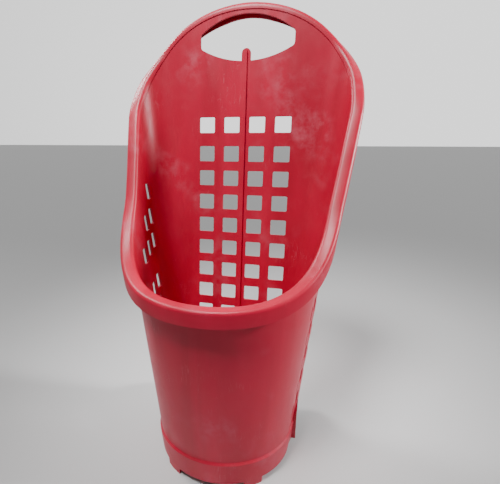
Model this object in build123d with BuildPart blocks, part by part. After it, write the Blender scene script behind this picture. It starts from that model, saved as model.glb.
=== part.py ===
from build123d import *
import os
from math import cos, hypot, pi, radians, sin, sqrt, tan

os.makedirs("parts", exist_ok=True)

# A tall pull-along shopping basket. +X is the shopper's right, -Y the low front of the
# basket, +Z up. The origin is on the floor, in the middle of the overall width and depth.

# ---- basket: overall form (inner faces of the walls unless a name says otherwise) ----
wall = 3.5                      # wall thickness
base_half_width = 126.5         # half width of the inside at floor level
side_flare = 6.0                # degrees that each side leans out
side_spread = 8.0               # how much farther out each side stands at the back than at the bow
base_depth = 203.5              # inside depth at floor level
front_flare = 1.3               # degrees that the front leans out
back_lean = 7.3                 # degrees that the back leans back
back_corner_radius = 57.0       # inner radius between the back and each side
front_bow_at_floor = 111.0      # depth of the half ellipse that closes the front
front_bow_growth = 0.088        # how much deeper that half ellipse gets per mm of height
origin_to_front = 152.7         # from the origin to the inside of the front, at floor level
overall_height = 863.0          # crest of the rim above the floor

# ---- mouth of the basket ----
front_height = 377.0            # crest of the rim at the front
shoulder_height = 679.0         # where the slanted sides meet the round top of the back
slope_reach = 0.49              # pull point of the side curve, as shares of its run and rise
slope_rise = 0.04
rim_width = 23.0                # from the inside of the wall to the outside of the rim
rim_depth = 28.0                # how far the outer skirt of the rim hangs down
rim_thickness = 3.5
rim_radius = 7.0                # rounding of the rim's crest
rim_bead = 1.2                  # how far the rim stands proud of the wall, inside

# ---- walls' openings ----
back_pitch_across = 52.8
back_pitch_up = 49.7
back_hole_width = 32.9
back_hole_height = 31.1
back_columns = 4
back_rows = 10                  # rows of the regular grid
top_row_gap = 57.1              # from the grid's top row to the single row above it
grid_top_height = 586.0         # height of the regular grid's top row
hole_corner_radius = 3.0
side_pitch_along = 26.5
side_pitch_up = 50.0
side_hole_width = 15.0
side_hole_height = 31.0
side_first_column = 58.0        # from the back's inner face to the first column's middle
side_row_drop = 9.0             # each column stands this much lower than the one behind it
side_top_height = 512.0         # height of the single hole at the top
side_band_gap = 87.0            # from the last upper row to the first lower one, across a plain band
side_upper_rows = 3
side_low_rows = 5
side_columns = 3
hole_margin = 6.0               # least wall between a hole and the wheel arch

# ---- hand slot in the back, with the hanging tab ----
slot_width = 188.0
slot_height_above_grid = 176.0  # lowest point of the slot above the grid's top row
slot_low_side = 25.0            # the slot's sides start this far above its lowest point
slot_high_side = 50.0           # and end here
slot_height = 84.0
slot_corner_radius = 9.0
tab_width = 18.0
tab_height = 23.0
rib_width = 5.0
rib_height = 4.0

# ---- base ----
band_height = 58.0              # the thicker band round the bottom
band_step = 3.5
floor_thickness = 5.0
foot_height = 14.0
foot_width = 30.0
foot_spread = 0.62              # place of each front foot, as a share of the half width
foot_reach = 90.0               # how far back from the front each foot's block runs

# ---- running gear ----
axle_diameter = 8.0
axle_chamfer = 0.8
axle_clearance = 0.05           # between the axle and what turns on it or holds it
wheel_radius = 50.0
floor_above_axle = 12.0         # from the axle's middle up to the upper face of the basket's floor
floor_height = wheel_radius + floor_above_axle
axle_from_back = 19.0           # axle's middle in front of the back's inner face
tyre_width = 24.0
tyre_thickness = 9.0
tyre_edge_radius = 4.0
tread_groove_width = 1.6
tread_groove_depth = 1.2
tread_groove_spacing = 7.0
wheel_gap = 8.0                 # free space between tyre and arch
arch_wall = 3.5
arch_flare = 12.0               # how far the arch stands out of the side wall
arch_open_from = 34.0           # behind the axle, the arch is open below
arch_open_height = 16.0         # this height above the axle, so that the wheel leads when tilted
hub_width = 26.0
hub_radius = 10.0
rim_wall = 5.0
rim_inset = 1.0                 # how far the wheel's rim stays inside each side of the tyre
web_thickness = 4.0
web_hole_radius = 7.0
web_hole_circle = 24.0
web_holes = 6
collar_length = 4.0             # the hub's collar that carries its cap
washer_thickness = 1.5
washer_radius = 8.5
running_gap = 0.3
push_nut_thickness = 3.0
push_nut_radius = 7.0
push_nut_chamfer = 0.6
axle_end = 1.5                  # axle beyond its push nut
cap_radius = 15.0
cap_wall = 1.6
cap_edge_radius = 1.2
cap_inset = 1.0                 # how far each cap lies inside the arch's outer face

# ---- clips that hold the axle under the floor ----
clip_place = 55.0               # from the middle to each clip's middle
clip_width = 20.0
clip_reach = 16.0               # from the axle's middle to the clip's ends
clip_drop = 7.0                 # clip's thickness below the axle's middle
clip_gap = 0.2                  # between the clip and the floor's saddle
clip_corner_radius = 3.0
clip_edge_radius = 1.2
screw_spacing = 22.0
screw_diameter = 3.5
screw_hole_diameter = 4.0
screw_head_diameter = 7.0
screw_head_height = 2.4
screw_head_radius = 0.9         # rounding of the screw heads' edges
screw_length = 13.0


def half_width(z):
    return base_half_width + z * tan(radians(side_flare))


def back_half_width(z):
    return half_width(z) + side_spread


def back_y(z):
    return base_depth - origin_to_front + z * tan(radians(back_lean))


def front_y(z):
    return -origin_to_front - z * tan(radians(front_flare))


def front_bow(z):
    return front_bow_at_floor + front_bow_growth * z


# ---- places on the basket's walls ----
# A place is a share of the way round the right half, from the middle of the front (0) to the
# middle of the back (1), a height, and a distance outward from the wall's inner face.
bow_steps, side_steps, corner_steps, back_steps = 14, 6, 8, 8
settle_rounds = 40
ease_reach = 0.025              # share of the way round over which the mouth's edge is eased
rim_arc_steps = 5
crest_tilt = 0.3                # rise of the rim outward, at the round top of the back

bow_length = pi / 4 * (half_width(shoulder_height) + front_bow(shoulder_height))
side_length = (
    back_y(shoulder_height) - back_corner_radius - front_y(shoulder_height) - front_bow(shoulder_height)
)
corner_length = pi / 2 * back_corner_radius
back_length = back_half_width(shoulder_height) - back_corner_radius
half_length = bow_length + side_length + corner_length + back_length


def wall_point(share, z, outward):
    """The point at a share of the way round, a height and a distance outward."""
    travel = min(max(share, 0.0), 1.0) * half_length
    width = half_width(z)
    bow_end = front_y(z) + front_bow(z)
    corner_x, corner_y = back_half_width(z) - back_corner_radius, back_y(z) - back_corner_radius
    if travel < bow_length:
        angle = radians(90 * travel / bow_length)
        return (width + outward) * sin(angle), bow_end - (front_bow(z) + outward) * cos(angle)
    travel -= bow_length
    if travel < side_length:
        along = travel / side_length
        return width + outward + side_spread * along, bow_end + (corner_y - bow_end) * along
    travel -= side_length
    reach = back_corner_radius + outward
    if travel < corner_length:
        angle = radians(90 * travel / corner_length)
        return corner_x + reach * cos(angle), corner_y + reach * sin(angle)
    travel -= corner_length
    return corner_x * (1 - travel / back_length), corner_y + reach


def slope_height(y):
    """Height of the slanted sides at depth y: a parabola from the front up to the shoulder."""
    y0, z0 = front_y(front_height), front_height
    y2, z2 = back_y(shoulder_height) - back_corner_radius, shoulder_height
    y1, z1 = y0 + slope_reach * (y2 - y0), z0 + slope_rise * (z2 - z0)
    if y <= y0:
        return z0
    a, b, c = y0 - 2 * y1 + y2, 2 * (y1 - y0), y0 - y
    u = 2 * -c / (b + sqrt(b * b - 4 * a * c))
    return (1 - u) ** 2 * z0 + 2 * u * (1 - u) * z1 + u * u * z2


def edge_height(share):
    """Height of the mouth's edge: the slanted sides, then a half ellipse over the back."""
    arch_height = overall_height - shoulder_height
    shoulder = (bow_length + side_length) / half_length
    z = front_height
    for _ in range(settle_rounds):
        x, y = wall_point(share, z, 0.0)
        if share <= shoulder:
            level = slope_height(y)
        else:
            level = shoulder_height + arch_height * sqrt(max(0.0, 1 - (x / back_half_width(z)) ** 2))
        z = (z + level) / 2
    return z


def mouth_height(share):
    """The edge's height, eased over a short stretch so that slope and arch run into each other."""
    total = 0.0
    for step in (-2, -1, 0, 1, 2):
        near = abs(share + step * ease_reach)
        total += edge_height(2 - near if near > 1 else near)
    return total / 5


# The right half is skinned in four stretches: bow, side, corner and back.
stretch_ends = [0]
station_shares = [0.0]
for stretch, steps in (
    (bow_length, bow_steps),
    (side_length, side_steps),
    (corner_length, corner_steps),
    (back_length, back_steps),
):
    start = station_shares[-1]
    station_shares += [start + stretch / half_length * (step + 1) / steps for step in range(steps)]
    stretch_ends.append(len(station_shares) - 1)
station_shares[-1] = 1.0


def mouth_line(outward, lift):
    """Points of the mouth's line, moved outward from the wall and up square to the edge."""
    reach = 0.01
    line = []
    for share in station_shares:
        ahead, behind = min(share + reach, 1.0), max(share - reach, 0.0)
        climb = (mouth_height(ahead) - mouth_height(behind)) / (2 * reach * half_length)
        if share in (0.0, 1.0):
            climb = 0.0
        length = sqrt(1 + climb ** 2)
        place = share - lift * climb / length / half_length
        tilt = crest_tilt * outward * max(0.0, (share - 0.6) / 0.4) ** 2
        z = mouth_height(share) + lift / length + tilt
        x, y = wall_point(place, z, outward)
        line.append(Vector(0.0 if share in (0.0, 1.0) else x, y, z))
    return line


def level_line(outward, z):
    """Points of the level outline at height z, matched one by one to mouth_line."""
    points = [wall_point(share, z, outward) for share in station_shares]
    points[-1] = (0.0, points[-1][1])
    return [Vector(x, y, z) for x, y in points]


def line_edges(line):
    """One smooth edge for each stretch of a line, square to the basket's middle at both ends."""
    last = len(line) - 1
    edges = []
    for first_index, last_index in zip(stretch_ends, stretch_ends[1:]):
        span = station_shares[last_index] - station_shares[first_index]
        tangents = []
        for index in (first_index, last_index):
            if index == 0:
                tangents.append(Vector(half_length * span, 0, 0))
            elif index == last:
                tangents.append(Vector(-half_length * span, 0, 0))
            else:
                gap = station_shares[index + 1] - station_shares[index - 1]
                tangents.append((line[index + 1] - line[index - 1]) * (span / gap))
        shares = station_shares[first_index:last_index + 1]
        places = [(share - shares[0]) / span for share in shares]
        points = line[first_index:last_index + 1]
        edges.append(Edge.make_spline(points, tangents=tangents, parameters=places, scale=False))
    return edges


def half_basket(lines):
    """The right half of the basket: skins run from line to line, then level and middle faces
    close it. Each line runs from the middle of the front to the middle of the back."""
    rows = [line_edges(line) for line in lines]
    skins = []
    for row, next_row in zip(rows, rows[1:]):
        skins += [Face.make_surface_from_curves(first, second) for first, second in zip(row, next_row)]
    for line, row in ((lines[0], rows[0]), (lines[-1], rows[-1])):
        skins.append(Face(Wire(row + [Edge.make_line(line[-1], line[0])])))
    middle = [line[0] for line in lines] + [line[-1] for line in reversed(lines)]
    skins.append(Face(Wire.make_polygon(middle, close=True)))
    return Solid(Shell(skins))


def rounded(outward, lift, start, end):
    """Corners (outward, lift) along an arc of the rim's crest, about (outward, lift)."""
    angles = [radians(start + (end - start) * step / rim_arc_steps) for step in range(rim_arc_steps + 1)]
    return [(outward + rim_radius * cos(a), lift + rim_radius * sin(a)) for a in angles]


# ---- basket ----
rim_section = [(0, -rim_radius - rim_thickness - rim_bead), (-rim_bead, -rim_radius - rim_thickness)]
rim_section += rounded(rim_radius - rim_bead, -rim_radius, 180, 90)
rim_section += rounded(rim_width - rim_radius, -rim_radius, 90, 0)
rim_section += [
    (rim_width, -rim_depth),
    (rim_width - rim_thickness, -rim_depth),
    (rim_width - rim_thickness, -rim_thickness),
    (wall, -rim_thickness),
]
basket_lines = [level_line(0, floor_height)]
basket_lines += [mouth_line(outward, lift) for outward, lift in rim_section]
basket_lines += [
    level_line(wall, band_height + band_step),
    level_line(wall + band_step, band_height),
    level_line(wall + band_step, 0),
    level_line(0, 0),
    level_line(0, floor_height - floor_thickness),
]

lean = radians(back_lean)
back_plane = Plane(origin=(0, back_y(0), 0), x_dir=(1, 0, 0), z_dir=(0, -cos(lean), sin(lean)))
grid_top = grid_top_height / cos(lean)
grid_rows = [grid_top + top_row_gap] + [grid_top - row * back_pitch_up for row in range(back_rows)]
slot_bottom = grid_top + slot_height_above_grid
through = 30.0                  # deeper than any wall that a cutting shape goes through

with BuildPart() as back_openings:
    with BuildSketch(back_plane):
        for row_height in grid_rows:
            with Locations((0, row_height)):
                with GridLocations(back_pitch_across, 0, back_columns, 1):
                    RectangleRounded(back_hole_width, back_hole_height, hole_corner_radius)
    extrude(amount=through, both=True)


with BuildPart() as slot_cut:
    low = (slot_width / 2, slot_bottom + slot_low_side)
    high = (slot_width / 2, slot_bottom + slot_high_side)
    with BuildSketch(back_plane) as slot_outline:
        with BuildLine():
            ThreePointArc((-low[0], low[1]), (0, slot_bottom), low)
            Line(low, high)
            ThreePointArc(high, (0, slot_bottom + slot_height), (-high[0], high[1]))
            Line((-high[0], high[1]), (-low[0], low[1]))
        make_face()
        fillet(slot_outline.vertices(), slot_corner_radius)
        tab_top = slot_bottom + tab_height
        with Locations((0, tab_top - tab_height / 2 - tab_width / 2)):
            Rectangle(tab_width, tab_height, mode=Mode.SUBTRACT)
        with Locations((0, tab_top - tab_width / 2)):
            Circle(tab_width / 2, mode=Mode.SUBTRACT)
    extrude(amount=through, both=True)

with BuildPart() as rib:
    with BuildSketch(back_plane):
        rib_bottom = floor_height / cos(lean)
        rib_top = slot_bottom + tab_height - tab_width / 4
        with Locations((0, (rib_bottom + rib_top) / 2)):
            Rectangle(rib_width, rib_top - rib_bottom)
    extrude(amount=rib_height)
    with BuildSketch(back_plane):
        with Locations((0, (rib_bottom + rib_top) / 2)):
            Rectangle(rib_width, rib_top - rib_bottom)
    extrude(amount=-wall / 2)

# ---- places of the running gear, on the basket's right side ----
axle_radius = axle_diameter / 2
axle_z = wheel_radius
axle_y = back_y(axle_z) - axle_from_back
axle_bore = axle_radius + axle_clearance
arch_outer_x = half_width(axle_z) + wall + arch_flare
cap_outer_x = arch_outer_x - cap_inset
hub_outer_x = cap_outer_x - cap_wall - axle_end - push_nut_thickness - washer_thickness - 2 * running_gap
hub_inner_x = hub_outer_x - hub_width
pocket_x = hub_inner_x - running_gap - washer_thickness
hub_x = (hub_outer_x + hub_inner_x) / 2
arch_radius = wheel_radius + wheel_gap
axle_plane = Plane(origin=(0, axle_y, axle_z), x_dir=(1, 0, 0), z_dir=(0, -1, 0))
axle_line = Axis((0, axle_y, axle_z), (1, 0, 0))


with BuildPart() as side_openings:
    for row in range(side_upper_rows + side_low_rows):
        for column in range(min(row + 1, side_columns)):
            z = side_top_height - row * side_pitch_up - column * side_row_drop
            if row >= side_upper_rows:
                z += side_pitch_up - side_band_gap
            y = back_y(z) - side_first_column - column * side_pitch_along
            clear_of_arch = hypot(y - axle_y, z - side_hole_height / 2 - axle_z)
            if clear_of_arch > arch_radius + arch_wall + hole_margin:
                with BuildSketch(Plane.YZ.offset(half_width(z) - through)):
                    with Locations((y, z)):
                        RectangleRounded(side_hole_width, side_hole_height, hole_corner_radius)
                extrude(amount=2 * through)


def wheel_arch_block(start, end, radius, bottom):
    """A block with a round top about the axle, from x = start to x = end."""
    with BuildPart() as block:
        with BuildSketch(Plane.YZ.offset(start)):
            with Locations((axle_y, axle_z)):
                Circle(radius)
            with Locations((axle_y, (axle_z + bottom) / 2)):
                Rectangle(2 * radius, axle_z - bottom)
            with Locations((axle_y, bottom - radius)):
                Rectangle(2 * radius, 2 * radius, mode=Mode.SUBTRACT)
        extrude(amount=end - start)
    return block.part


with BuildPart() as arch_trim:
    with BuildSketch(Plane.YZ.offset(pocket_x - arch_wall)):
        with Locations((axle_y + arch_open_from, axle_z + arch_open_height)):
            Rectangle(2 * arch_radius, 4 * arch_radius, align=(Align.MIN, Align.MAX))
    extrude(amount=arch_outer_x)

with BuildPart() as foot_relief:
    with BuildSketch():
        Rectangle(4 * base_half_width, 4 * base_depth)
        with Locations((foot_spread * base_half_width, front_y(0) + foot_reach / 2 - wall - band_step)):
            Rectangle(foot_width, foot_reach, mode=Mode.SUBTRACT)
    extrude(amount=foot_height)

with BuildPart() as clip_saddle:
    saddle_top = floor_height - floor_thickness / 2
    with BuildSketch(Plane.XY.offset(axle_z)):
        with Locations((clip_place, axle_y)):
            Rectangle(clip_width, 2 * clip_reach)
    extrude(amount=saddle_top - axle_z)

with BuildPart() as screw_pilots:
    with BuildSketch(Plane.XY.offset(axle_z - clip_drop)):
        with Locations((clip_place, axle_y)):
            with GridLocations(0, screw_spacing, 1, 2):
                Circle(screw_diameter / 2)
    extrude(amount=screw_length)

with BuildPart() as axle_passage:
    with BuildSketch(Plane.YZ):
        with Locations((axle_y, axle_z)):
            Circle(axle_bore)
    extrude(amount=arch_outer_x)

with BuildPart() as basket:
    add(half_basket(basket_lines))
    add(side_openings.part, mode=Mode.SUBTRACT)
    add(rib.part)
    add(wheel_arch_block(pocket_x - arch_wall, arch_outer_x, arch_radius + arch_wall, foot_height))
    add(arch_trim.part, mode=Mode.SUBTRACT)
    add(clip_saddle.part)
    add(wheel_arch_block(pocket_x, 2 * arch_outer_x, arch_radius, -1.0), mode=Mode.SUBTRACT)
    add(axle_passage.part, mode=Mode.SUBTRACT)
    add(screw_pilots.part, mode=Mode.SUBTRACT)
    add(foot_relief.part, mode=Mode.SUBTRACT)
    add(back_openings.part, mode=Mode.SUBTRACT)
    add(slot_cut.part, mode=Mode.SUBTRACT)
    split(bisect_by=Plane.YZ, keep=Keep.TOP)
    mirror(about=Plane.YZ)
basket.part.label = "basket"
export_step(basket.part, "parts/basket.step")

# ---- axle ----
axle_half_length = hub_outer_x + running_gap + washer_thickness + push_nut_thickness + axle_end
with BuildPart() as axle:
    with BuildSketch(Plane.YZ.offset(-axle_half_length)):
        with Locations((axle_y, axle_z)):
            Circle(axle_radius)
    extrude(amount=2 * axle_half_length)
    chamfer(axle.edges().filter_by(GeomType.CIRCLE), axle_chamfer)
axle.part.label = "axle"
export_step(axle.part, "parts/axle.step")


def edges_of_radius(part, radius):
    """The part's round edges of one radius."""
    circles = part.edges().filter_by(GeomType.CIRCLE)
    return circles.filter_by(lambda edge: abs(edge.radius - radius) < 0.1)


def ring_on_axle(start, end, bore, radius):
    """A flat ring on the axle, from x = start to x = end."""
    with BuildPart() as ring:
        with BuildSketch(Plane.YZ.offset(min(start, end))):
            with Locations((axle_y, axle_z)):
                Circle(radius)
                Circle(bore, mode=Mode.SUBTRACT)
        extrude(amount=abs(end - start))
    return ring.part


for side, way in (("left", -1), ("right", 1)):
    # ---- clip and screws ----
    with BuildPart() as clip:
        with BuildSketch(Plane.XY.offset(axle_z - clip_drop)):
            with Locations((way * clip_place, axle_y)):
                RectangleRounded(clip_width, 2 * clip_reach, clip_corner_radius)
        extrude(amount=clip_drop - clip_gap)
        fillet(clip.faces().sort_by(Axis.Z)[0].edges(), clip_edge_radius)
        with BuildSketch(Plane.YZ.offset(way * clip_place - clip_width)):
            with Locations((axle_y, axle_z)):
                Circle(axle_bore)
        extrude(amount=2 * clip_width, mode=Mode.SUBTRACT)
        with BuildSketch(Plane.XY.offset(axle_z)):
            with Locations((way * clip_place, axle_y)):
                with GridLocations(0, screw_spacing, 1, 2):
                    Circle(screw_hole_diameter / 2)
        extrude(amount=2 * clip_drop, both=True, mode=Mode.SUBTRACT)
    clip.part.label = f"axle_clip_{side}"
    export_step(clip.part, f"parts/axle_clip_{side}.step")

    with BuildPart() as screws:
        with BuildSketch(Plane.XY.offset(axle_z - clip_drop)):
            with Locations((way * clip_place, axle_y)):
                with GridLocations(0, screw_spacing, 1, 2):
                    Circle(screw_diameter / 2)
        extrude(amount=screw_length)
        with BuildSketch(Plane.XY.offset(axle_z - clip_drop)):
            with Locations((way * clip_place, axle_y)):
                with GridLocations(0, screw_spacing, 1, 2):
                    Circle(screw_head_diameter / 2)
        extrude(amount=-screw_head_height)
        fillet(screws.faces().sort_by(Axis.Z)[:2].edges(), screw_head_radius)
    screws.part.label = f"clip_screws_{side}"
    export_step(screws.part, f"parts/clip_screws_{side}.step")

    # ---- washers and push-on nut ----
    inner_start, outer_start = way * pocket_x, way * (hub_outer_x + running_gap)
    nut_start = way * (hub_outer_x + running_gap + washer_thickness)
    inner_washer = ring_on_axle(inner_start, inner_start + way * washer_thickness, axle_bore, washer_radius)
    inner_washer.label = f"inner_washer_{side}"
    export_step(inner_washer, f"parts/inner_washer_{side}.step")
    outer_washer = ring_on_axle(outer_start, nut_start, axle_bore, washer_radius)
    outer_washer.label = f"outer_washer_{side}"
    export_step(outer_washer, f"parts/outer_washer_{side}.step")
    with BuildPart() as push_nut:
        add(ring_on_axle(nut_start, nut_start + way * push_nut_thickness, axle_radius, push_nut_radius))
        chamfer(edges_of_radius(push_nut, push_nut_radius), push_nut_chamfer)
    push_nut.part.label = f"push_nut_{side}"
    export_step(push_nut.part, f"parts/push_nut_{side}.step")

    # ---- wheel: hub, tyre and cap ----
    rim_outer = wheel_radius - tyre_thickness
    rim_half = tyre_width / 2 - rim_inset
    with BuildPart() as hub:
        with BuildSketch(axle_plane):
            with BuildLine():
                Polyline(
                    (-hub_width / 2, axle_bore),
                    (-hub_width / 2, hub_radius),
                    (-web_thickness / 2, hub_radius),
                    (-web_thickness / 2, rim_outer - rim_wall),
                    (-rim_half, rim_outer - rim_wall),
                    (-rim_half, rim_outer),
                    (rim_half, rim_outer),
                    (rim_half, rim_outer - rim_wall),
                    (web_thickness / 2, rim_outer - rim_wall),
                    (web_thickness / 2, hub_radius),
                    (hub_width / 2 - collar_length, hub_radius),
                    (hub_width / 2 - collar_length, cap_radius),
                    (hub_width / 2, cap_radius),
                    (hub_width / 2, axle_bore),
                    close=True,
                )
            make_face()
        revolve(axis=axle_line)
        with BuildSketch(Plane.YZ.offset(-web_thickness)):
            with Locations((axle_y, axle_z)):
                with PolarLocations(web_hole_circle, web_holes):
                    Circle(web_hole_radius)
        extrude(amount=2 * web_thickness, mode=Mode.SUBTRACT)
    hub_part = hub.part if way > 0 else mirror(hub.part, about=Plane.YZ)
    hub_part = Pos(way * hub_x, 0, 0) * hub_part
    hub_part.label = f"wheel_hub_{side}"
    export_step(hub_part, f"parts/wheel_hub_{side}.step")

    with BuildPart() as tyre:
        with BuildSketch(axle_plane):
            with Locations((way * hub_x, rim_outer + tyre_thickness / 2)):
                Rectangle(tyre_width, tyre_thickness)
        revolve(axis=axle_line)
        fillet(edges_of_radius(tyre, wheel_radius), tyre_edge_radius)
        with BuildSketch(axle_plane):
            with Locations((way * hub_x, wheel_radius)):
                with GridLocations(tread_groove_spacing, 0, 2, 1):
                    Rectangle(tread_groove_width, 2 * tread_groove_depth)
        revolve(axis=axle_line, mode=Mode.SUBTRACT)
    tyre.part.label = f"tyre_{side}"
    export_step(tyre.part, f"parts/tyre_{side}.step")

    with BuildPart() as cap:
        with BuildSketch(axle_plane):
            with BuildLine():
                Polyline(
                    (way * hub_outer_x, cap_radius - cap_wall),
                    (way * hub_outer_x, cap_radius),
                    (way * cap_outer_x, cap_radius),
                    (way * cap_outer_x, 0),
                    (way * (cap_outer_x - cap_wall), 0),
                    (way * (cap_outer_x - cap_wall), cap_radius - cap_wall),
                    close=True,
                )
            make_face()
        revolve(axis=axle_line)
        fillet(edges_of_radius(cap, cap_radius).sort_by(lambda e: abs(e.center().X))[-1], cap_edge_radius)
    cap.part.label = f"hub_cap_{side}"
    export_step(cap.part, f"parts/hub_cap_{side}.step")
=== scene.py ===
# %% [markdown]
# # A pull-along shopping basket
# This lesson dresses a finished CAD model of a tall plastic basket on two wheels. The CAD model
# fixes every size and place. Here the pieces get their final meshes and their materials: a glossy
# red moulding, black wheels, rubber tyres and zinc-plated fasteners.

# %% Load the fixed frame
from math import cos, pi, radians, sin

import bpy
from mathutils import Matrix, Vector


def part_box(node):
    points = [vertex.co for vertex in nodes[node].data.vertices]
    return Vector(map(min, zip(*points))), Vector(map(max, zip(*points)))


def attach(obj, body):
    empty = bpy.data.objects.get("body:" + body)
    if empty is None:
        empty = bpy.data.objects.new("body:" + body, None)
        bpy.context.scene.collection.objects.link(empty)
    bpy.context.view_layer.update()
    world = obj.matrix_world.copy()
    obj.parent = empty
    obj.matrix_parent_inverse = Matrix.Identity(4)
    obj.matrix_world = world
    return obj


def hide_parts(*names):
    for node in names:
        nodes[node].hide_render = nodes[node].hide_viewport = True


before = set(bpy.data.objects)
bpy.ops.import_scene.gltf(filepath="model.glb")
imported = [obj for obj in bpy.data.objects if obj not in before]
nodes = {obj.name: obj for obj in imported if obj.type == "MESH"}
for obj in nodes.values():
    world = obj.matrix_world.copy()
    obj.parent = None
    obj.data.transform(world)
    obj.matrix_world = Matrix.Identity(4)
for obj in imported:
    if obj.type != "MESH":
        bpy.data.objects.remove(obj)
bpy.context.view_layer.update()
MM = 0.001

# %% [markdown]
# ## Camera
# The basket is seen from the front, a little from the right and from above its low front edge. The
# camera stands close, so the lens is wide, and the tall back shrinks towards the top. A small shift
# frames the object without turning the camera.

# %% Place the camera
camera_data = bpy.data.cameras.new("camera")
camera_data.sensor_width = 36.0
camera_data.lens = 24.83
camera_data.shift_x = 0.0102
camera_data.shift_y = 0.0400
camera = bpy.data.objects.new("camera", camera_data)
camera.location = (0.1672, -0.6049, 0.6066)
camera.rotation_euler = (radians(71.03), radians(-0.14), radians(12.66))
bpy.context.scene.collection.objects.link(camera)
bpy.context.scene.camera = camera
print("camera stands", round(camera.location.length, 3), "m from the origin")

# %% [markdown]
# ## Colours and nodes
# Colours are written as sRGB hex, the way a colour picker gives them, but shaders work with linear
# light. One function turns one into the other. A second one adds a node with its settings and links.


# %% Two small helpers for materials
def linear(hex_colour):
    """An sRGB hex colour as linear RGBA."""
    channels = [int(hex_colour[i:i + 2], 16) / 255 for i in (1, 3, 5)]
    return [c / 12.92 if c <= 0.04045 else ((c + 0.055) / 1.055) ** 2.4 for c in channels] + [1.0]


def add_node(tree, kind, settings=None, inputs=None):
    """Adds a node. An input is a value or another node's output."""
    node = tree.nodes.new(kind)
    for name, value in (settings or {}).items():
        setattr(node, name, value)
    for key, value in (inputs or {}).items():
        if isinstance(value, bpy.types.NodeSocket):
            tree.links.new(value, node.inputs[key])
        else:
            node.inputs[key].default_value = value
    return node


def per_metre(size_mm):
    """How many times a pattern of this size in millimetres repeats in a metre."""
    return 1000 / size_mm


print("pure red is", linear("#ff0000"))

# %% [markdown]
# ## Light and floor
# A soft light high in front shines over the low rim onto the inside of the back, and leaves a shadow
# on the front wall under the rim, as a shop's ceiling lights do. Two weaker lights draw a gloss along
# the rim. The sky gets brighter towards the back, and a matte floor returns a soft light from below.


# %% Floor, sky and lamps
def soft_lamp(name, place, aim, size, watts, spread_degrees):
    lamp_data = bpy.data.lights.new(name, "AREA")
    lamp_data.shape = "DISK"
    lamp_data.size = size
    lamp_data.spread = radians(spread_degrees)
    lamp_data.energy = watts
    lamp = bpy.data.objects.new(name, lamp_data)
    lamp.location = place
    lamp.rotation_euler = (Vector(aim) - Vector(place)).to_track_quat("-Z", "Y").to_euler()
    bpy.context.scene.collection.objects.link(lamp)


soft_lamp("ceiling_light", (-0.35, -0.7, 2.3), (0, 0.12, 0.62), 0.7, 5, 45)
soft_lamp("right_light", (1.7, 0.25, 1.2), (0.1, 0, 0.55), 0.3, 4, 50)
soft_lamp("left_light", (-1.4, 0.5, 1.9), (0, 0, 0.6), 0.5, 2.5, 50)

world = bpy.data.worlds.new("studio")
world.use_nodes = True
bpy.context.scene.world = world
sky = world.node_tree
sky.nodes.clear()
heading = add_node(sky, "ShaderNodeTexCoord").outputs["Generated"]
depth = add_node(sky, "ShaderNodeSeparateXYZ", inputs={0: heading}).outputs["Y"]
glow = add_node(sky, "ShaderNodeMapRange", inputs={
    "Value": depth, "From Min": -0.2, "From Max": 0.9, "To Min": 0.18, "To Max": 1.5})
backdrop = add_node(sky, "ShaderNodeBackground", inputs={
    "Color": (1, 1, 1, 1), "Strength": glow.outputs["Result"]})
add_node(sky, "ShaderNodeOutputWorld", inputs={"Surface": backdrop.outputs[0]})

bpy.ops.object.select_all(action="DESELECT")
bpy.ops.mesh.primitive_plane_add(size=200)
floor = bpy.context.object
floor.name = "studio_floor"
floor_paint = bpy.data.materials.new("matte_studio_paint")
floor_paint.use_nodes = True
floor_shader = floor_paint.node_tree.nodes["Principled BSDF"]
floor_shader.inputs["Base Color"].default_value = linear("#cfcfcf")
floor_shader.inputs["Roughness"].default_value = 0.9
floor.data.materials.append(floor_paint)
print("stage ready")

# %% [markdown]
# ## Red polypropylene
# The basket is injection moulded in polypropylene, a slightly waxy plastic with a satin gloss. The
# steel mould leaves a faint orange peel, the melt leaves broad streaks where it flowed, and use
# leaves fine pale scratches and a dull, scuffed band near the floor. All of it comes from patterns
# in Object coordinates, so that it stays put on the basket.


# %% The moulded red
def new_material(name, colour, roughness, ior):
    """A material with its Principled shader, and the Object coordinates for its patterns.

    The colour and roughness are starting values, which the patterns are linked over."""
    material = bpy.data.materials.new(name)
    material.use_nodes = True
    tree = material.node_tree
    shader = tree.nodes["Principled BSDF"]
    shader.inputs["Base Color"].default_value = linear(colour)
    shader.inputs["Roughness"].default_value = roughness
    shader.inputs["IOR"].default_value = ior
    place = add_node(tree, "ShaderNodeTexCoord").outputs["Object"]
    return material, tree, shader, place


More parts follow.
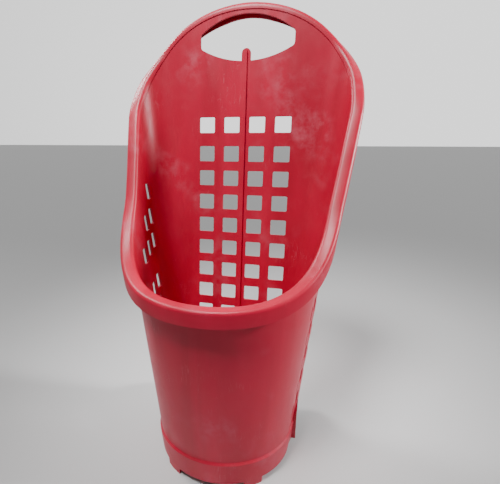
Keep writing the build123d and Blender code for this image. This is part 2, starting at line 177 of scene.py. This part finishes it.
def scratches(tree, place, turn, spacing_mm, length_mm, width):
    """A mask of long thin lines: the middle level of a stretched noise, kept only in some patches."""
    size = (per_metre(spacing_mm), per_metre(spacing_mm), per_metre(length_mm))
    stretched = add_node(tree, "ShaderNodeMapping", inputs={
        "Vector": place, "Rotation": turn, "Scale": size}).outputs[0]
    waves = add_node(tree, "ShaderNodeTexNoise", inputs={
        "Vector": stretched, "Scale": 1.0, "Detail": 1.0}).outputs[0]
    from_middle = add_node(
        tree, "ShaderNodeMath", {"operation": "SUBTRACT"}, {0: waves, 1: 0.5}).outputs[0]
    distance = add_node(
        tree, "ShaderNodeMath", {"operation": "ABSOLUTE"}, {0: from_middle}).outputs[0]
    line = add_node(tree, "ShaderNodeMapRange", inputs={
        "Value": distance, "From Min": 0.0, "From Max": width, "To Min": 1.0, "To Max": 0.0})
    patches = add_node(tree, "ShaderNodeTexNoise", inputs={
        "Vector": place, "Scale": per_metre(60), "Detail": 3.0}).outputs[0]
    kept = add_node(tree, "ShaderNodeMapRange", inputs={
        "Value": patches, "From Min": 0.55, "From Max": 0.68, "To Min": 0.0, "To Max": 1.0})
    return add_node(tree, "ShaderNodeMath", {"operation": "MULTIPLY"}, {
        0: line.outputs[0], 1: kept.outputs[0]}).outputs[0]


def moulded_red():
    material, tree, shader, place = new_material("moulded_polypropylene_red", "#b4002e", 0.36, 1.49)
    shader.inputs["Specular IOR Level"].default_value = 0.4
    streaks = add_node(tree, "ShaderNodeMapping", inputs={
        "Vector": place, "Scale": (per_metre(70), per_metre(70), per_metre(420))}).outputs[0]
    flow = add_node(tree, "ShaderNodeTexNoise", inputs={
        "Vector": streaks, "Scale": 1.0, "Detail": 4.0, "Distortion": 0.6}).outputs[0]
    flow_share = add_node(tree, "ShaderNodeMapRange", inputs={
        "Value": flow, "From Min": 0.32, "From Max": 0.68}).outputs[0]
    body = add_node(tree, "ShaderNodeMix", {"data_type": "RGBA"}, {
        0: flow_share, 6: linear("#a60028"), 7: linear("#c00034")}).outputs[2]
    # Scuffing: a dull, slightly paler cast in clouds, stronger near the floor.
    height = add_node(tree, "ShaderNodeSeparateXYZ", inputs={0: place}).outputs["Z"]
    low = add_node(tree, "ShaderNodeMapRange", {"interpolation_type": "SMOOTHSTEP"}, {
        "Value": height, "From Min": 0.02, "From Max": 0.12,
        "To Min": 0.75, "To Max": 0.22}).outputs[0]
    clouds = add_node(tree, "ShaderNodeTexNoise", inputs={
        "Vector": place, "Scale": per_metre(38), "Detail": 8.0, "Roughness": 0.68}).outputs[0]
    cloud_share = add_node(tree, "ShaderNodeMapRange", inputs={
        "Value": clouds, "From Min": 0.46, "From Max": 0.72}).outputs[0]
    scuff = add_node(tree, "ShaderNodeMath", {"operation": "MULTIPLY"}, {
        0: cloud_share, 1: low}).outputs[0]
    scuffed = add_node(tree, "ShaderNodeMix", {"data_type": "RGBA"}, {
        0: scuff, 6: body, 7: linear("#b02a3a")}).outputs[2]
    # Rubbing: goods leave pale, fine-grained patches, a hand's breadth apart.
    patches = add_node(tree, "ShaderNodeTexNoise", inputs={
        "Vector": place, "Scale": per_metre(90), "Detail": 2.0}).outputs[0]
    patch_share = add_node(tree, "ShaderNodeMapRange", inputs={
        "Value": patches, "From Min": 0.52, "From Max": 0.7}).outputs[0]
    grain = add_node(tree, "ShaderNodeTexNoise", inputs={
        "Vector": place, "Scale": per_metre(24), "Detail": 7.0, "Roughness": 0.62}).outputs[0]
    grain_share = add_node(tree, "ShaderNodeMapRange", inputs={
        "Value": grain, "From Min": 0.42, "From Max": 0.75, "To Max": 0.6}).outputs[0]
    rub = add_node(tree, "ShaderNodeMath", {"operation": "MULTIPLY"}, {
        0: patch_share, 1: grain_share}).outputs[0]
    rubbed = add_node(tree, "ShaderNodeMix", {"data_type": "RGBA"}, {
        0: rub, 6: scuffed, 7: linear("#c2586a")}).outputs[2]
    long_lines = scratches(tree, place, (0.35, 0.5, 0.4), 7, 110, 0.010)
    cross_lines = scratches(tree, place, (0.2, -0.6, 0.9), 9, 90, 0.008)
    lines = add_node(tree, "ShaderNodeMath", {"operation": "MAXIMUM"}, {
        0: long_lines, 1: cross_lines}).outputs[0]
    line_share = add_node(tree, "ShaderNodeMath", {"operation": "MULTIPLY"}, {
        0: lines, 1: 0.3}).outputs[0]
    colour = add_node(tree, "ShaderNodeMix", {"data_type": "RGBA"}, {
        0: line_share, 6: rubbed, 7: linear("#cf6a75")}).outputs[2]
    tree.links.new(colour, shader.inputs["Base Color"])
    wear = add_node(tree, "ShaderNodeMath", {"operation": "ADD"}, {0: scuff, 1: rub}).outputs[0]
    roughness = add_node(tree, "ShaderNodeMapRange", inputs={
        "Value": wear, "From Min": 0.0, "From Max": 1.0, "To Min": 0.38, "To Max": 0.66}).outputs[0]
    tree.links.new(roughness, shader.inputs["Roughness"])
    # Orange peel of the mould, about 2.5 mm from bump to bump, and the scratches cut into it.
    peel = add_node(tree, "ShaderNodeTexNoise", inputs={
        "Vector": place, "Scale": per_metre(2.5), "Detail": 2.0}).outputs[0]
    peel_bump = add_node(tree, "ShaderNodeBump", inputs={
        "Strength": 0.12, "Distance": 0.2 * MM, "Height": peel})
    line_bump = add_node(tree, "ShaderNodeBump", {"invert": True}, {
        "Strength": 0.35, "Distance": 0.15 * MM, "Height": lines, "Normal": peel_bump.outputs[0]})
    tree.links.new(line_bump.outputs[0], shader.inputs["Normal"])
    return material


basket_red = moulded_red()
print(basket_red.name, "has", len(basket_red.node_tree.nodes), "nodes")

# %% [markdown]
# ## Rubber, black plastic and zinc
# The tyres are moulded rubber: nearly black, dull, with dust in their grain. The wheels and caps are
# black polypropylene and the clips are grey nylon, both with a fine spark-eroded grain. The axle and
# its fasteners are steel with a bright zinc coat, a little cloudy, with fine lines round the axle.


# %% Materials of the running gear
def grained(name, colour, dusty_colour, roughness, ior, grain_mm, depth_mm):
    """A dull moulded surface: fine grain in the bump, and dust that settles in clouds."""
    material, tree, shader, place = new_material(name, colour, roughness, ior)
    dust = add_node(tree, "ShaderNodeTexNoise", inputs={
        "Vector": place, "Scale": per_metre(22), "Detail": 7.0, "Roughness": 0.65}).outputs[0]
    dust_share = add_node(tree, "ShaderNodeMapRange", inputs={
        "Value": dust, "From Min": 0.4, "From Max": 0.75, "To Max": 0.7}).outputs[0]
    shade = add_node(tree, "ShaderNodeMix", {"data_type": "RGBA"}, {
        0: dust_share, 6: linear(colour), 7: linear(dusty_colour)}).outputs[2]
    tree.links.new(shade, shader.inputs["Base Color"])
    gloss = add_node(tree, "ShaderNodeMapRange", inputs={
        "Value": dust, "From Min": 0.3, "From Max": 0.8,
        "To Min": roughness - 0.06, "To Max": roughness + 0.2}).outputs[0]
    tree.links.new(gloss, shader.inputs["Roughness"])
    grain = add_node(tree, "ShaderNodeTexNoise", inputs={
        "Vector": place, "Scale": per_metre(grain_mm), "Detail": 3.0}).outputs[0]
    bump = add_node(tree, "ShaderNodeBump", inputs={
        "Strength": 0.4, "Distance": depth_mm * MM, "Height": grain})
    tree.links.new(bump.outputs[0], shader.inputs["Normal"])
    return material


def zinc_plate():
    material, tree, shader, place = new_material("zinc_plated_steel", "#b9bcc0", 0.3, 1.5)
    shader.inputs["Metallic"].default_value = 1.0
    turned_lines = add_node(tree, "ShaderNodeMapping", inputs={
        "Vector": place, "Scale": (per_metre(0.6), per_metre(14), per_metre(14))}).outputs[0]
    lines = add_node(tree, "ShaderNodeTexNoise", inputs={
        "Vector": turned_lines, "Scale": 1.0, "Detail": 3.0}).outputs[0]
    clouds = add_node(tree, "ShaderNodeTexNoise", inputs={
        "Vector": place, "Scale": per_metre(9), "Detail": 5.0}).outputs[0]
    colour = add_node(tree, "ShaderNodeMix", {"data_type": "RGBA"}, {
        0: clouds, 6: linear("#a3a7ad"), 7: linear("#c9c8c2")}).outputs[2]
    tree.links.new(colour, shader.inputs["Base Color"])
    gloss = add_node(tree, "ShaderNodeMapRange", inputs={
        "Value": lines, "From Min": 0.3, "From Max": 0.7, "To Min": 0.22, "To Max": 0.42}).outputs[0]
    tree.links.new(gloss, shader.inputs["Roughness"])
    bump = add_node(tree, "ShaderNodeBump", inputs={
        "Strength": 0.2, "Distance": 0.05 * MM, "Height": lines})
    tree.links.new(bump.outputs[0], shader.inputs["Normal"])
    return material


tyre_rubber = grained("moulded_tyre_rubber", "#1b1b1c", "#57534d", 0.7, 1.52, 0.9, 0.12)
wheel_black = grained("grained_black_polypropylene", "#18191a", "#3c3b3a", 0.45, 1.49, 0.7, 0.06)
clip_grey = grained("grained_grey_nylon", "#2c2e30", "#5a5955", 0.5, 1.53, 0.8, 0.06)
zinc = zinc_plate()
print("materials:", [m.name for m in (tyre_rubber, wheel_black, clip_grey, zinc)])

# %% [markdown]
# ## The basket
# The basket is one moulding whose shape comes from the CAD model. Its mesh arrives as loose
# triangles, which shade as flat facets, so a copy is made, its corners are welded and only the sharp
# edges stay sharp. The copy stands for the CAD piece.


# %% Weld a copy of a CAD piece
# An edge stays sharp where its faces turn by more than this many degrees.
basket_sharp = 28
tyre_sharp = 32
gear_sharp = 35
copy_weld_gap = 0.01 * MM


def select_only(piece):
    bpy.ops.object.select_all(action="DESELECT")
    bpy.context.view_layer.objects.active = piece
    piece.select_set(True)


def dress(piece, body, material, replaced, sharp_degrees):
    """Shades a piece, gives it its material, hangs it on its body, and hides the CAD piece it stands
    for.
    """
    select_only(piece)
    bpy.ops.object.shade_smooth_by_angle(angle=radians(sharp_degrees))
    piece.data.materials.clear()
    piece.data.materials.append(material)
    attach(piece, body)
    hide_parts(replaced)


def welded_copy(node, body, material, sharp_degrees):
    """A smooth copy of a CAD piece, with its corners merged, that stands for it."""
    piece = nodes[node].copy()
    piece.data = nodes[node].data.copy()
    piece.parent = None
    piece.name = node + "_shown"
    bpy.context.scene.collection.objects.link(piece)
    select_only(piece)
    bpy.ops.object.mode_set(mode="EDIT")
    bpy.ops.mesh.select_all(action="SELECT")
    bpy.ops.mesh.customdata_custom_splitnormals_clear()
    bpy.ops.mesh.remove_doubles(threshold=copy_weld_gap)
    bpy.ops.object.mode_set(mode="OBJECT")
    dress(piece, body, material, node, sharp_degrees)
    return piece


basket = welded_copy("basket", "basket", basket_red, basket_sharp)
print("basket has", len(basket.data.vertices), "corners and", len(basket.data.polygons), "faces")

# %% [markdown]
# ## A lathe
# The tyres are round about the axle. A lathe is imitated by hand: a circle of edges is extruded from
# point to point of a profile, and scaled to each new radius. When the profile comes back to its
# start, the last ring is welded to the first. The circle has no faces yet, so it is selected by its
# corners.

# %% The axle's place and a lathe
hub_low, hub_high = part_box("wheel_hub_right")
tyre_low, tyre_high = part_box("tyre_right")
axle_y = (tyre_low.y + tyre_high.y) / 2
axle_z = (tyre_low.z + tyre_high.z) / 2
tyre_radius = (tyre_high.z - tyre_low.z) / 2
hub_x = (hub_low.x + hub_high.x) / 2
ring_weld_gap = 0.005 * MM


def lathe(name, profile, steps):
    """Turns a profile of (x, radius) points about the axle. A closed profile ends where it starts."""
    bpy.ops.object.select_all(action="DESELECT")
    x, radius = profile[0]
    bpy.ops.mesh.primitive_circle_add(
        vertices=steps, radius=radius, location=(x, axle_y, axle_z), rotation=(0, pi / 2, 0))
    piece = bpy.context.object
    piece.name = name
    bpy.ops.object.transform_apply(location=True, rotation=True, scale=True)
    bpy.ops.object.mode_set(mode="EDIT")
    bpy.ops.mesh.select_mode(type="VERT")
    bpy.ops.mesh.select_all(action="SELECT")
    for next_x, next_radius in profile[1:]:
        bpy.ops.mesh.extrude_region()
        bpy.ops.transform.translate(value=(next_x - x, 0, 0))
        share = next_radius / radius
        bpy.ops.transform.resize(value=(1, share, share), center_override=(next_x, axle_y, axle_z))
        x, radius = next_x, next_radius
    bpy.ops.mesh.select_all(action="SELECT")
    bpy.ops.mesh.remove_doubles(threshold=ring_weld_gap)
    bpy.ops.mesh.normals_make_consistent(inside=False)
    bpy.ops.object.mode_set(mode="OBJECT")
    return piece


print("axle at y", round(axle_y, 4), "z", round(axle_z, 4), "tyre radius", round(tyre_radius, 4))

# %% [markdown]
# ## Tyres
# The tyre is a plain moulded band with rounded shoulders. Its tread has two grooves round it, and
# short cuts across its ribs. The grooves come with the profile. For the cuts, each face of the ribs
# is inset a little and pushed out, which leaves narrow valleys between the blocks.

# %% Model the tyres
tread_steps = 72
sipe_half_width = 0.45 * MM
tyre_half = (tyre_high.x - tyre_low.x) / 2
bead_depth = 9 * MM
bead_radius = tyre_radius - bead_depth
groove_place, groove_half, groove_depth = 3.5 * MM, 0.8 * MM, 1.2 * MM
shoulder = 4 * MM
shoulder_degrees = (22.5, 45, 67.5, 90)
block_height = 0.6 * MM
tread_margin = 0.3 * MM


def tyre_profile(middle):
    tread = tyre_radius - block_height
    points = [(-tyre_half, bead_radius), (-tyre_half, tread - shoulder)]
    for degrees in shoulder_degrees:
        turn = radians(degrees)
        points.append((
            -tyre_half + shoulder * (1 - cos(turn)),
            tread - shoulder * (1 - sin(turn)),
        ))
    points += [
        (-groove_place - groove_half, tread),
        (-groove_place - groove_half, tread - groove_depth),
        (-groove_place + groove_half, tread - groove_depth),
        (-groove_place + groove_half, tread),
    ]
    points += [(-x, radius) for x, radius in reversed(points)]
    points.append(points[0])
    return [(middle + x, radius) for x, radius in points]


def make_tyre(side, way):
    middle = way * hub_x
    piece = lathe(f"tyre_{side}_shown", tyre_profile(middle), tread_steps)
    bpy.ops.object.mode_set(mode="EDIT")
    bpy.ops.mesh.select_all(action="DESELECT")
    bpy.ops.mesh.select_mode(type="FACE")
    bpy.ops.object.mode_set(mode="OBJECT")
    for face in piece.data.polygons:
        off_axis = Vector((face.center.y - axle_y, face.center.z - axle_z)).length
        face.select = off_axis > tyre_radius - block_height - tread_margin
    bpy.ops.object.mode_set(mode="EDIT")
    bpy.ops.mesh.inset(thickness=sipe_half_width, use_individual=True)
    outward = tyre_radius / (tyre_radius - block_height)
    bpy.ops.transform.resize(value=(1, outward, outward), center_override=(middle, axle_y, axle_z))
    bpy.ops.object.mode_set(mode="OBJECT")
    dress(piece, f"wheel_{side}", tyre_rubber, f"tyre_{side}", tyre_sharp)
    return piece


for side, way in (("left", -1), ("right", 1)):
    made = make_tyre(side, way)
    print(made.name, "faces", len(made.data.polygons))

# %% [markdown]
# ## The rest of the running gear
# Hubs, caps, washers, nuts, screws, clips and the axle keep their CAD shapes. Each gets a welded copy
# for clean shading, and a narrow bevel on its sharp edges, as a mould or a lathe tool leaves.

# %% Copies with bevelled edges
bevel_from_degrees = 40
bevelled = [("axle", "basket", "steel", zinc, 0.2)]
for side in ("left", "right"):
    bevelled += [
        (f"axle_clip_{side}", "basket", "clip_plastic", clip_grey, 0.4),
        (f"clip_screws_{side}", "basket", "steel", zinc, 0.2),
        (f"inner_washer_{side}", "basket", "steel", zinc, 0.2),
        (f"outer_washer_{side}", "basket", "steel", zinc, 0.2),
        (f"push_nut_{side}", "basket", "steel", zinc, 0.2),
        (f"wheel_hub_{side}", f"wheel_{side}", "hub_plastic", wheel_black, 0.5),
        (f"hub_cap_{side}", f"wheel_{side}", "hub_plastic", wheel_black, 0.3),
    ]
for node, body, slot, material, edge_mm in bevelled:
    piece = welded_copy(node, body, material, gear_sharp)
    bevel = piece.modifiers.new("edges", "BEVEL")
    bevel.width = edge_mm * MM
    bevel.segments = 2
    bevel.limit_method = "ANGLE"
    bevel.angle_limit = radians(bevel_from_degrees)
    bevel.harden_normals = True
    select_only(piece)
    bpy.ops.object.modifier_apply(modifier="edges")
    print(piece.name, len(piece.data.polygons), "faces")
